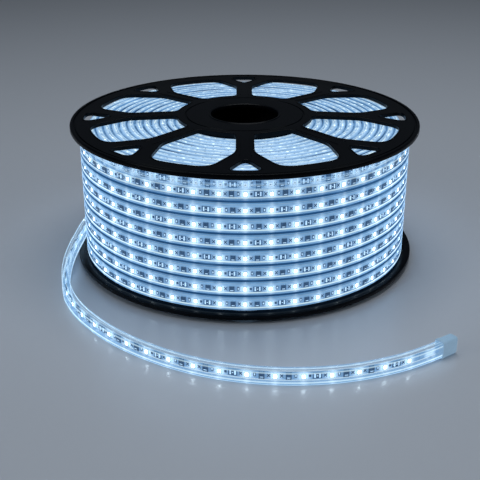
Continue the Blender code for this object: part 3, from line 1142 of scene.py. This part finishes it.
    def end_cap(self, finishes: Finishes) -> bpy.types.Object:
        """The moulded cap over the cut face: a rounded cup with a thicker lip."""
        section = self.section
        line = self.line()
        length = self.length_of(line)
        tip, direction = self.point_along(line, length)
        base = strip_frame(tip, direction)
        high = section.sleeve_height + 2 * (self.pocket_gap + self.cap_wall)
        wide = section.sleeve_thickness + 2 * (self.pocket_gap + self.cap_wall)
        corner = section.sleeve_corner + self.cap_wall
        outer = self.cap_length - self.cap_pocket
        bm = bmesh.new()
        inner_wide, inner_high = wide - 2 * self.cap_wall, high - 2 * self.cap_wall
        rings = [(0.0003, inner_wide, inner_high, section.sleeve_corner),
                 (-self.cap_pocket, inner_wide, inner_high, section.sleeve_corner),
                 (-self.cap_pocket, wide, high, corner),
                 (-self.cap_pocket + 0.0018, wide, high, corner),
                 (-self.cap_pocket + 0.0020, wide - 0.0004, high - 0.0004, corner),
                 (outer - 0.0012, wide - 0.0004, high - 0.0004, corner),
                 (outer - 0.0004, wide - 0.0010, high - 0.0010, corner),
                 (outer, wide - 0.0024, high - 0.0024, corner * 0.6)]
        loops = []
        for place, width, height, round_off in rings:
            at = base @ Matrix.Translation((place, 0.0, 0.0))
            points = [at @ Vector((0.0, across, up)) for across, up in rounded_rectangle(width, height, round_off, 4)]
            loops.append(draw_loop(bm, points))
        for low, high_loop in zip(loops, loops[1:]):
            bmesh.ops.bridge_loops(bm, edges=[*low, *high_loop])
        bmesh.ops.edgeloop_fill(bm, edges=loops[0])
        bmesh.ops.edgeloop_fill(bm, edges=loops[-1])
        close_up(bm)
        return make_piece("strip_end_cap", bm, finishes.cap)


@dataclass
class Winding:
    """The wound strip: eight lit rows outside, a ninth behind under the top rim, and the layers' edges."""

    section: Section = field(default_factory=lambda: Section(board_inward=-0.00040, chip_inward=-0.00110))
    radius: float = 0.12100
    bore: float = 0.04560
    low: float = 0.00530
    high: float = 0.10106
    rows: int = 8
    row_pitch: float = 0.0111
    row_start: float = 0.0009
    layer_pitch: float = 0.0058
    layers: int = 12
    leds_round: int = 45
    led_drop: float = 0.0012
    inner_row_middle: float = 0.09460
    inner_row_drop: float = 0.0023
    steps: int = 180

    def row_middles(self) -> list[float]:
        """The heights of the outer rows' middles."""
        return [self.low + self.row_start + self.row_pitch * (row + 0.5) for row in range(self.rows)]

    def strip_radius(self, layers_in: int = 0) -> float:
        """The radius of the strip's middle in the outermost layer, or in one further in."""
        return self.radius - self.section.sleeve_thickness / 2 - layers_in * self.layer_pitch

    def ring(self, bm: bmesh.types.BMesh, section: list[tuple[float, float]], radius: float, middle: float,
             sleeve_middle: float, open_top: bool = False) -> None:
        """Add one spun ring with the strip's UV.

        Args:
            bm: where to make it.
            section: the section's points, as (outward, up).
            radius: the ring's radius at the section's middle.
            middle: the height of the section's middle.
            sleeve_middle: the height of the middle of the sleeve that it belongs to.
            open_top: whether its top face shows, so that V runs on over it and the hidden side stays clear.
        """
        spun = bmesh.new()
        spin_profile(spun, [(radius + out, middle + up) for out, up in section], self.steps)
        close_up(spun)
        layer = spun.loops.layers.uv.new(STRIP_UV)
        for face in spun.faces:
            centre = face.calc_center_median()
            at = math.atan2(centre.x, -centre.y)
            for loop in face.loops:
                turn = math.atan2(loop.vert.co.x, -loop.vert.co.y)
                turn += 2 * math.pi * round((at - turn) / (2 * math.pi))
                high = (loop.vert.co.z - sleeve_middle) / self.section.sleeve_height + 0.5
                if open_top and face.normal.z > 0.95:
                    depth = radius + self.section.sleeve_thickness / 2 - loop.vert.co.xy.length
                    high = 1.0 + depth / self.section.sleeve_height
                elif open_top and face.normal.xy.dot(centre.xy) < 0.0:
                    high = 0.5
                loop[layer].uv = (turn / (2 * math.pi) * self.leds_round + 0.5, high)
        mesh = bpy.data.meshes.new("ring")
        spun.to_mesh(mesh)
        spun.free()
        bm.from_mesh(mesh)
        bpy.data.meshes.remove(mesh)

    def build(self, finishes: Finishes) -> None:
        """Build the winding.

        Args:
            finishes: the reel's finishes.
        """
        section = self.section
        outline = rounded_rectangle(section.sleeve_thickness, section.sleeve_height, section.sleeve_corner, 4)
        board = rounded_rectangle(section.board_thickness, section.board_height, 0.0001, 1)
        sleeves, top_sleeve, inner, boards = (bmesh.new() for _ in range(4))
        rows = self.row_middles()
        for middle in rows:
            highest = middle == rows[-1]
            self.ring(top_sleeve if highest else sleeves, outline, self.strip_radius(), middle, middle, highest)
            self.ring(boards, board, self.strip_radius() - section.board_inward, middle - self.led_drop,
                      middle - self.led_drop)
        inner_middle = self.inner_row_middle - self.inner_row_drop
        self.ring(boards, board, self.strip_radius(1) - section.board_inward, inner_middle, inner_middle)
        self.ring(inner, outline, self.strip_radius(1), self.inner_row_middle, inner_middle, True)
        self.piece("wound_sleeves", sleeves, finishes.wound_sleeve, Slot.WOUND)
        self.piece("top_row_sleeve", top_sleeve, finishes.top_sleeve, Slot.WOUND)
        self.piece("inner_sleeve", inner, finishes.inner_sleeve, Slot.WOUND)
        self.piece("wound_boards", boards, finishes.board, Slot.BOARD)
        self.leds(finishes)
        self.inner_body(finishes)
        self.layer_edges(finishes)

    @staticmethod
    def piece(name: str, bm: bmesh.types.BMesh, material: bpy.types.Material, slot: Slot,
              smooth: bool = True) -> None:
        """Finish a piece that stands for part of the solid winding.

        Args:
            name: its name.
            bm: its shape.
            material: its finish.
            slot: not used.
            smooth: whether it is shaded smooth.
        """
        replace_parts(make_piece(name, bm, material, smooth), "wound_strip")

    def leds(self, finishes: Finishes) -> None:
        """Add the LEDs and the parts between them on every row that shows."""
        lit, unlit, dots, dark, pale = (bmesh.new() for _ in range(5))
        lit.loops.layers.uv.new(STRIP_UV)
        unlit.loops.layers.uv.new(STRIP_UV)
        step = 360.0 / self.leds_round
        rows = [(middle - self.led_drop, 0, lit) for middle in self.row_middles()]
        rows.append((self.inner_row_middle - self.inner_row_drop, 1, unlit))
        for row, (middle, layers_in, chips) in enumerate(rows):
            radius = self.strip_radius(layers_in)
            for number in range(self.leds_round):
                here = around(radius, middle, number * step)
                first = len(chips.faces)
                self.section.chip(chips, here)
                mark_boxes(chips, here, number, first)
                self.section.pads(pale, here)
                if chips is unlit:
                    add_box(dots, here, (0.0, self.section.chip_inward - 0.0004, 0.0), (0.0010, 0.0002, 0.0010))
                between = around(radius, middle, (number + 0.5) * step)
                self.section.parts(dark, pale, between, Gap((number + row) % 3))
        self.piece("wound_leds", lit, finishes.led, Slot.LED, smooth=False)
        self.piece("inner_leds", unlit, finishes.led_off, Slot.LED, smooth=False)
        self.piece("inner_led_dots", dots, finishes.dark_part, Slot.LED, smooth=False)
        self.piece("wound_dark_parts", dark, finishes.dark_part, Slot.BOARD, smooth=False)
        self.piece("wound_pale_parts", pale, finishes.pale_part, Slot.BOARD, smooth=False)

    def inner_body(self, finishes: Finishes) -> None:
        """Add the layers behind the ones that show, as one body with a groove for each row."""
        outer = self.radius - self.layer_pitch - 0.0002
        inner = self.radius - 2 * self.layer_pitch - 0.0004
        low, high = self.low + 0.0012, self.high - 0.0012
        rows = self.row_middles()
        shoulder = self.inner_row_middle - self.section.sleeve_height / 2 - 0.0002
        profile = [(self.bore + 0.001, high), (inner, high), (inner, shoulder), (outer, shoulder),
                   (outer, rows[-1] - 0.0036)]
        for middle in reversed(rows[:-1]):
            profile += [(outer - 0.0010, middle + self.row_pitch / 2 - 0.0014), (outer, middle + 0.0036),
                        (outer, middle - 0.0036)]
        profile += [(outer - 0.0010, low), (self.bore + 0.001, low)]
        bm = bmesh.new()
        spin_profile(bm, profile, self.steps)
        close_up(bm)
        self.piece("inner_layers", bm, finishes.inner_glow, Slot.WOUND)

    def layer_edges(self, finishes: Finishes) -> None:
        """Add the edges of the layers on both ends, each turn wandering a little as wound strip does."""
        for name, edge, upward in (("top_layer_edges", self.high, 1.0), ("bottom_layer_edges", self.low, -1.0)):
            profile = [(self.bore, edge - upward * 0.0016)]
            for layer in range(self.layers):
                start = self.bore + layer * self.layer_pitch
                for across, drop in ((0.0001, 0.0014), (0.0005, 0.0005), (0.0013, 0.0001), (0.0029, 0.0),
                                     (0.0045, 0.0001), (0.0053, 0.0005), (0.0057, 0.0014)):
                    profile.append((start + across, edge - upward * drop))
            profile.append((self.bore + self.layers * self.layer_pitch, edge - upward * 0.0030))
            profile.append((self.bore, edge - upward * 0.0030))
            bm = bmesh.new()
            spin_profile(bm, profile, self.steps)
            for corner in bm.verts:
                radius = math.hypot(corner.co.x, corner.co.y)
                turn = math.atan2(corner.co.x, -corner.co.y)
                layer = math.floor((radius - self.bore) / self.layer_pitch + 0.001)
                sway = 0.00028 * math.sin(5 * turn + 1.7 * layer) + 0.00018 * math.sin(11 * turn + 2.9 * layer)
                if self.bore + 0.001 < radius < self.bore + self.layers * self.layer_pitch - 0.001:
                    corner.co.x *= 1 + sway / radius
                    corner.co.y *= 1 + sway / radius
                corner.co.z -= upward * 0.0003 * (1 + math.sin(3 * turn + 2.3 * layer)) / 2
            close_up(bm)
            self.piece(name, bm, finishes.layer_ends, Slot.WOUND)


# The reel


@dataclass
class Flange:
    """A moulded flange: hub disc, eight forked spokes with windows between, and a deep rim."""

    reel_height: float = 0.10636
    spindle: float = 0.0247
    hub: float = 0.0480
    ring: float = 0.1100
    rim_inner: float = 0.1230
    edge: float = 0.1274
    dome: float = 0.0024
    web: float = 0.0026
    rim_depth: float = 0.0036
    bead: float = 0.0003
    spigot_outer: float = 0.0425
    spigot_inner: float = 0.0405
    spigot: float = 0.0040
    spokes: int = 8
    spoke_width: float = 0.0125
    window_inner: float = 0.0500
    window_outer: float = 0.1135
    shoulder: float = 0.0850
    fork_width: float = 0.0460
    inner_corner: float = 0.0060
    outer_corner: float = 0.0140
    shoulder_corner: float = 0.0200
    fork_apex: float = 0.0955
    fork_outer: float = 0.1182
    fork_window: float = 0.0240
    fork_corner: float = 0.0050
    steps: int = 240

    def face_height(self, radius: float) -> float:
        """The height of the outer face at a radius, where the hub's highest bead is at 0."""
        slope = min(max((radius - self.hub) / (self.ring - self.hub), 0.0), 1.0)
        return -self.bead - self.dome * slope

    def profile(self) -> list[tuple[float, float]]:
        """The flange's section, with its outer face up and its highest bead at height 0."""
        ring_face, under = -self.dome - self.bead, -self.dome - self.web
        rim_under = -self.dome - self.rim_depth
        return [
            (self.spindle, -0.0012), (self.spindle + 0.0002, -0.0004), (self.spindle + 0.0008, 0.0),
            (self.spindle + 0.0017, 0.0), (self.spindle + 0.0022, -0.0004), (0.0300, -self.bead),
            (0.0426, -self.bead), (0.0429, -0.0009), (0.0437, -0.0009), (0.0440, -self.bead),
            (self.hub, -self.bead), (self.ring, ring_face), (0.1236, ring_face), (0.1239, ring_face - 0.0007),
            (0.1248, ring_face - 0.0007), (0.1251, -self.dome - 0.0001), (0.1264, -self.dome),
            (0.1270, -self.dome - 0.0002), (self.edge, -self.dome - 0.0008),
            (self.edge, rim_under + 0.0006), (self.edge - 0.0002, rim_under + 0.0002),
            (self.edge - 0.0006, rim_under), (self.rim_inner, rim_under), (self.rim_inner, under),
            (self.ring, under), (self.hub, -self.web), (self.spigot_outer, -self.web),
            (self.spigot_outer, -self.web - self.spigot), (self.spigot_inner, -self.web - self.spigot),
            (self.spigot_inner, -self.web), (self.spindle, -self.web),
        ]

    def beside_spoke(self, along: float, across: float) -> Vector:
        """A point beside a spoke, seen from the window's middle line."""
        radius = math.hypot(along, across)
        turn = math.pi / self.spokes - math.atan2(across, along)
        return Vector((radius * math.cos(turn), radius * math.sin(turn)))

    def window_outline(self) -> Outline:
        """The outline of a large window, whose middle line is +X."""
        half = self.spoke_width / 2
        inner = self.beside_spoke(math.sqrt(self.window_inner ** 2 - half ** 2), half)
        shoulder = self.beside_spoke(self.shoulder, half)
        outer = self.beside_spoke(math.sqrt(self.window_outer ** 2 - (self.fork_width / 2) ** 2),
                                  self.fork_width / 2)
        side = list(reversed(corner_to_arc(shoulder, inner, self.inner_corner, 7)))
        side += rounded_corner(inner, shoulder, outer, self.shoulder_corner, 7)
        side += corner_to_arc(shoulder, outer, self.outer_corner, 9)
        mirrored = [Vector((point.x, -point.y)) for point in reversed(side)]
        inner_middle = list(reversed(arc_inside(self.window_inner, side[0], 8)))
        return side + arc_inside(self.window_outer, side[-1], 10) + mirrored + inner_middle

    def fork_outline(self) -> Outline:
        """The outline of the small window in a spoke's fork, whose middle line is +X."""
        apex = Vector((self.fork_apex, 0.0))
        half = self.fork_window / 2
        corner = Vector((math.sqrt(self.fork_outer ** 2 - half ** 2), half))
        other = Vector((corner.x, -corner.y))
        side = corner_to_arc(apex, corner, self.fork_corner, 7)
        mirrored = [Vector((point.x, -point.y)) for point in reversed(side)]
        tip = rounded_corner(other, apex, corner, self.fork_corner, 6)
        return side + arc_inside(self.fork_outer, side[-1], 3) + mirrored + tip

    def openings(self) -> list[Outline]:
        """The outlines of all windows, in place."""
        found = []
        for number in range(self.spokes):
            spoke = math.pi / 2 + 2 * math.pi * number / self.spokes
            for outline, turn in ((self.window_outline(), spoke + math.pi / self.spokes),
                                  (self.fork_outline(), spoke)):
                spin = Matrix.Rotation(turn, 2)
                found.append([spin @ point for point in outline])
        return found

    def cutters(self, openings: list[Outline]) -> bpy.types.Object:
        """One object that holds a prism for each window."""
        bm = bmesh.new()
        for outline in openings:
            corners = [bm.verts.new((point.x, point.y, -0.03)) for point in outline]
            floor = bm.faces.new(corners)
            grown = bmesh.ops.extrude_face_region(bm, geom=[floor])["geom"]
            bmesh.ops.translate(bm, vec=(0.0, 0.0, 0.06), verts=only_verts(grown))
        bmesh.ops.recalc_face_normals(bm, faces=bm.faces)
        mesh = bpy.data.meshes.new("window_prisms")
        bm.to_mesh(mesh)
        bm.free()
        thing = bpy.data.objects.new("window_prisms", mesh)
        bpy.context.scene.collection.objects.link(thing)
        return thing

    def disc(self) -> bmesh.types.BMesh:
        """The disc with its windows cut, outer face up."""
        bm = bmesh.new()
        spin_profile(bm, self.profile(), self.steps)
        close_up(bm)
        mesh = bpy.data.meshes.new("flange_blank")
        bm.to_mesh(mesh)
        bm.free()
        blank = bpy.data.objects.new("flange_blank", mesh)
        bpy.context.scene.collection.objects.link(blank)
        prisms = self.cutters(self.openings())
        cut = blank.modifiers.new("windows", "BOOLEAN")
        cut.operation = "DIFFERENCE"
        cut.object = prisms
        cut.solver = "EXACT"
        bpy.context.view_layer.update()
        graph = bpy.context.evaluated_depsgraph_get()
        done = bpy.data.meshes.new_from_object(blank.evaluated_get(graph))
        result = bmesh.new()
        result.from_mesh(done)
        for thing in (blank, prisms):
            bpy.data.objects.remove(thing, do_unlink=True)
        bpy.data.meshes.remove(done)
        bmesh.ops.remove_doubles(result, verts=result.verts, dist=MERGE)
        return result

    def on_face(self, point: Vector, direction: Vector) -> Matrix:
        """A frame on the outer face: X along a line on it, Y across and Z up."""
        along = Vector((direction.x, direction.y, 0.0)).normalized()
        matrix = Matrix((along, UP.cross(along), UP)).transposed().to_4x4()
        matrix.translation = Vector((point.x, point.y, self.face_height(point.length)))
        return matrix

    def beads(self, bm: bmesh.types.BMesh) -> None:
        """Add the raised bead round every window and the two lines along every spoke."""
        half_round = [Vector((0.0, 0.00060 * math.cos(turn), 0.00029 * math.sin(turn)))
                      for turn in (math.pi * i / 6 for i in range(7))]
        half_round.append(Vector((0.0, -0.00060, -0.0004)))
        half_round.append(Vector((0.0, 0.00060, -0.0004)))
        for outline in self.openings():
            middle = sum(outline, Vector((0.0, 0.0))) / len(outline)
            stations = []
            for i in range(len(outline) + 1):
                point = outline[i % len(outline)]
                direction = outline[(i + 1) % len(outline)] - outline[i - 1 if i < len(outline) else i - 1 - len(outline)]
                away = Vector((direction.y, -direction.x)).normalized()
                if away.dot(point - middle) < 0:
                    away = -away
                stations.append(self.on_face(point + away * 0.0009, direction))
            sweep(bm, half_round, stations, False)
        for number in range(self.spokes):
            turn = 2 * math.pi * number / self.spokes
            along = Vector((math.cos(turn), math.sin(turn)))
            side = Vector((-along.y, along.x))
            for sign in (-1.0, 1.0):
                line = [along * radius + side * sign * (0.0030 + 0.0010 * max(0.0, (radius - 0.080) / 0.012))
                        for radius in (0.0530 + 0.0390 * i / 8 for i in range(9))]
                stations = [self.on_face(point, along) for point in line]
                sweep(bm, [Vector((0.0, p.y * 0.55, p.z * 0.8)) for p in half_round], stations, True)

    def build(self, finishes: Finishes) -> None:
        """Build both flanges, the bottom one as the top one turned over.

        Args:
            finishes: the reel's finishes.
        """
        shape = self.disc()
        self.beads(shape)
        close_up(shape)
        mesh = bpy.data.meshes.new("flange_shape")
        shape.to_mesh(mesh)
        shape.free()
        for name, node, place in (
                ("top_disc", "top_flange", Matrix.Translation((0.0, 0.0, self.reel_height))),
                ("bottom_disc", "bottom_flange", Matrix.Rotation(math.pi, 4, "X"))):
            bm = bmesh.new()
            bm.from_mesh(mesh)
            bmesh.ops.transform(bm, matrix=place, verts=bm.verts)
            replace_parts(make_piece(name, bm, finishes.plastic), node)
        bpy.data.meshes.remove(mesh)


@dataclass
class Barrel:
    """The tube between the flanges."""

    outer: float = 0.0453
    wall: float = 0.0025
    low: float = 0.0029
    high: float = 0.10346
    lip: float = 0.0004
    ribs: int = 6
    steps: int = 96

    def build(self, finishes: Finishes) -> None:
        """Build the tube with a few shallow moulded rings inside.

        Args:
            finishes: the reel's finishes.
        """
        inner = self.outer - self.wall
        profile = [(self.outer - self.lip, self.high), (self.outer, self.high - self.lip),
                   (self.outer, self.low + self.lip), (self.outer - self.lip, self.low),
                   (inner + self.lip, self.low), (inner, self.low + self.lip)]
        for rib in range(1, self.ribs):
            middle = self.low + (self.high - self.low) * rib / self.ribs
            profile += [(inner, middle - 0.0012), (inner - 0.0003, middle - 0.0006),
                        (inner - 0.0003, middle + 0.0006), (inner, middle + 0.0012)]
        profile += [(inner, self.high - self.lip), (inner + self.lip, self.high)]
        bm = bmesh.new()
        spin_profile(bm, profile, self.steps)
        close_up(bm)
        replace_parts(make_piece("core_tube", bm, finishes.plastic), "core_barrel")


# The studio


@dataclass
class Finishes:
    """All finishes, made once."""

    plastic: bpy.types.Material = field(default_factory=lambda: MouldedPlastic().make())
    wound_sleeve: bpy.types.Material = field(default_factory=lambda: ClearSleeve("wound_sleeve").make())
    top_sleeve: bpy.types.Material = field(
        default_factory=lambda: ClearSleeve("top_row_sleeve", groove_above=False, body_alpha=0.5).make())
    free_sleeve: bpy.types.Material = field(
        default_factory=lambda: ClearSleeve("free_sleeve", False, False, body_alpha=0.62, window_top=2.4).make())
    inner_sleeve: bpy.types.Material = field(
        default_factory=lambda: ClearSleeve("inner_sleeve", lit=Lit.OFF, strength=0.7, window_alpha=0.05,
                                            body_alpha=0.20, window_top=2.6).make())
    cap: bpy.types.Material = field(
        default_factory=lambda: SmallPart("cap_plastic", (0.36, 0.56, 0.76), 0.40, 0.2, 0.15).make())
    board: bpy.types.Material = field(default_factory=lambda: CircuitBoard("white_board").make())
    led: bpy.types.Material = field(default_factory=lambda: LedLight("led_lit").make())
    led_off: bpy.types.Material = field(default_factory=lambda: LedLight("led_unlit", Lit.OFF).make())
    dark_part: bpy.types.Material = field(
        default_factory=lambda: SmallPart("dark_part", (0.013, 0.052, 0.130), 0.75, 0.4, 1.6).make())
    pale_part: bpy.types.Material = field(
        default_factory=lambda: SmallPart("pale_part", (0.50, 0.74, 0.98), 1.0).make())
    layer_ends: bpy.types.Material = field(default_factory=lambda: LayerEnds().make())
    inner_glow: bpy.types.Material = field(default_factory=lambda: InnerGlow().make())


@dataclass
class Studio:
    """The camera at the photograph's angle, a pale floor and soft light."""

    camera_place: tuple[float, float, float] = (-0.0034, -0.65842, 0.29655)
    pitch_down: float = 0.41816
    lens: float = 69.153
    sensor: float = 36.0
    floor_size: float = 12.0

    def camera(self) -> None:
        """Make the camera, with colours shown as they are."""
        data = bpy.data.cameras.new("camera")
        data.lens = self.lens
        data.sensor_width = self.sensor
        data.clip_start = 0.05
        data.clip_end = 50.0
        camera = bpy.data.objects.new("camera", data)
        camera.location = self.camera_place
        camera.rotation_euler = (math.pi / 2 - self.pitch_down, 0.0, 0.0)
        bpy.context.scene.collection.objects.link(camera)
        bpy.context.scene.camera = camera
        bpy.context.scene.view_settings.view_transform = "Standard"

    def floor(self) -> None:
        """Make the floor."""
        bm = bmesh.new()
        bmesh.ops.create_grid(bm, x_segments=1, y_segments=1, size=self.floor_size / 2)
        mesh = bpy.data.meshes.new("floor")
        bm.to_mesh(mesh)
        bm.free()
        mesh.materials.append(FloorFinish().make())
        floor = bpy.data.objects.new("floor", mesh)
        bpy.context.scene.collection.objects.link(floor)

    def softbox(self, name: str, place: tuple[float, float, float], size: float, power: float,
                colour: Colour) -> None:
        """Add a square light that faces the reel.

        Args:
            name: its name.
            place: where it hangs.
            size: its side.
            power: its power in watts.
            colour: its colour.
        """
        data = bpy.data.lights.new(name, "AREA")
        data.size = size
        data.energy = power
        data.color = colour
        light = bpy.data.objects.new(name, data)
        light.location = place
        aim = Vector((0.0, 0.0, 0.05)) - Vector(place)
        light.rotation_euler = aim.to_track_quat("-Z", "Y").to_euler()
        bpy.context.scene.collection.objects.link(light)

    def lights(self) -> None:
        """Make the soft light and the even surround."""
        self.softbox("overhead", (0.1, 0.15, 1.35), 1.0, 9.0, (0.90, 0.95, 1.0))
        self.softbox("left_fill", (-1.1, -0.7, 0.8), 0.8, 3.0, (0.85, 0.93, 1.0))
        self.softbox("right_fill", (1.2, -0.5, 0.9), 0.8, 2.5, (0.85, 0.93, 1.0))
        world = bpy.data.worlds.new("surround")
        world.use_nodes = True
        background = world.node_tree.nodes["Background"]
        background.inputs["Color"].default_value = (0.60, 0.68, 0.78, 1.0)
        background.inputs["Strength"].default_value = 0.07
        bpy.context.scene.world = world

    def build(self) -> None:
        """Build the studio."""
        self.camera()
        self.floor()
        self.lights()


def main() -> None:
    """Build the studio, then the reel piece by piece."""
    logging.basicConfig(level=logging.INFO, format="%(name)s: %(message)s")
    Studio().build()
    finishes = Finishes()
    FreeEnd().build(finishes)
    Winding().build(finishes)
    Flange().build(finishes)
    Barrel().build(finishes)


if __name__ == "__main__":
    main()
